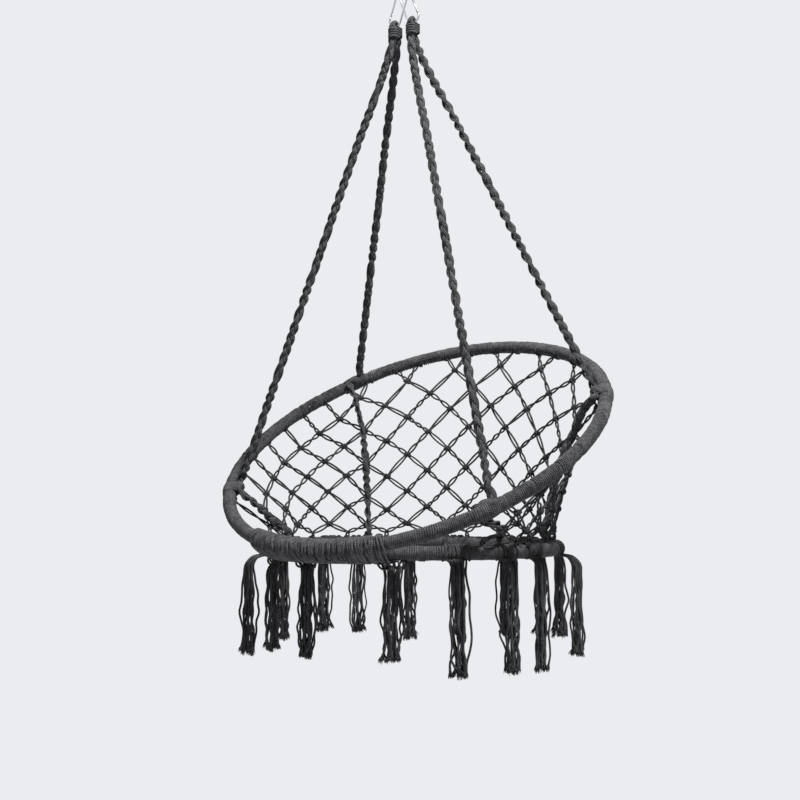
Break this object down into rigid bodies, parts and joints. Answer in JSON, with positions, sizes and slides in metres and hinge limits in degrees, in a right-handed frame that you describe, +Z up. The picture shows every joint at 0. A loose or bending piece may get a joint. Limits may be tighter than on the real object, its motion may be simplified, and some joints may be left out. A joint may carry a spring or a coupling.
{
  "type": "hanging hammock chair",
  "caption": "Hanging chair: a net seat in a cord-wound hoop, a tilted back hoop joined to it by a knotted diamond net, braided ropes from snap hooks, and tassels round the seat.",
  "frame": {"origin": "the point of the outside hook that both snap hooks hang on, at the top of their bends' inner side", "axes": "+Z up; the sitter faces -Y, so the raised back hoop is towards +Y; +X is the sitter's left"},
  "size_m": [0.7988, 0.681, 1.3284],
  "materials": {
    "bar": "satin",
    "winding": "matt cotton cord, closely wound",
    "rope": "matt braided cotton rope",
    "net": "matt twisted cotton cord",
    "tassel": "matt cotton cord with frayed ends",
    "hook": "polished"
  },
  "bodies": {
    "hooks": {"left_snap_hook": "hook", "right_snap_hook": "hook", "left_gate_rivet": "hook", "right_gate_rivet": "hook"},
    "left_gate": {"left_gate": "hook"},
    "right_gate": {"right_gate": "hook"},
    "chair": {"seat_hoop_bar": "bar", "back_hoop_bar": "bar", "seat_hoop_wrap": "winding", "back_hoop_wrap": "winding", "front_lashing": "winding", "left_rope": "rope", "left_whipping": "winding", "left_front_binding": "winding", "left_back_binding": "winding", "right_rope": "rope", "right_whipping": "winding", "right_front_binding": "winding", "right_back_binding": "winding", "seat_net": "net", "back_net_01": "net", "back_net_02": "net", "back_net_03": "net", "back_net_04": "net", "back_net_05": "net", "back_net_06": "net", "back_net_07": "net", "back_net_08": "net", "back_net_09": "net", "back_net_10": "net", "tassel_01": "tassel", "tassel_02": "tassel", "tassel_03": "tassel", "tassel_04": "tassel", "tassel_05": "tassel", "tassel_06": "tassel", "tassel_07": "tassel", "tassel_08": "tassel", "tassel_09": "tassel", "tassel_10": "tassel", "tassel_11": "tassel", "tassel_12": "tassel", "tassel_13": "tassel", "tassel_14": "tassel", "tassel_15": "tassel", "tassel_16": "tassel"}
  },
  "joints": [
    {"name": "swing", "type": "hinge", "parent": "hooks", "child": "chair", "pos_m": [0, 0, -0.06798], "axis": [1, 0, 0], "range_deg": [-25, 25]},
    {"name": "left_gate_hinge", "type": "hinge", "parent": "hooks", "child": "left_gate", "pos_m": [0.02917, 0.00331, -0.0429], "axis": [0, -0.9914, 0.1309], "range_deg": [0, 25], "stiffness_Nm_per_rad": 0.1, "springref_deg": -14.9},
    {"name": "right_gate_hinge", "type": "hinge", "parent": "hooks", "child": "right_gate", "pos_m": [-0.02917, -0.00331, -0.0429], "axis": [0, 0.9914, 0.1309], "range_deg": [0, 25], "stiffness_Nm_per_rad": 0.1, "springref_deg": -14.9}
  ]
}
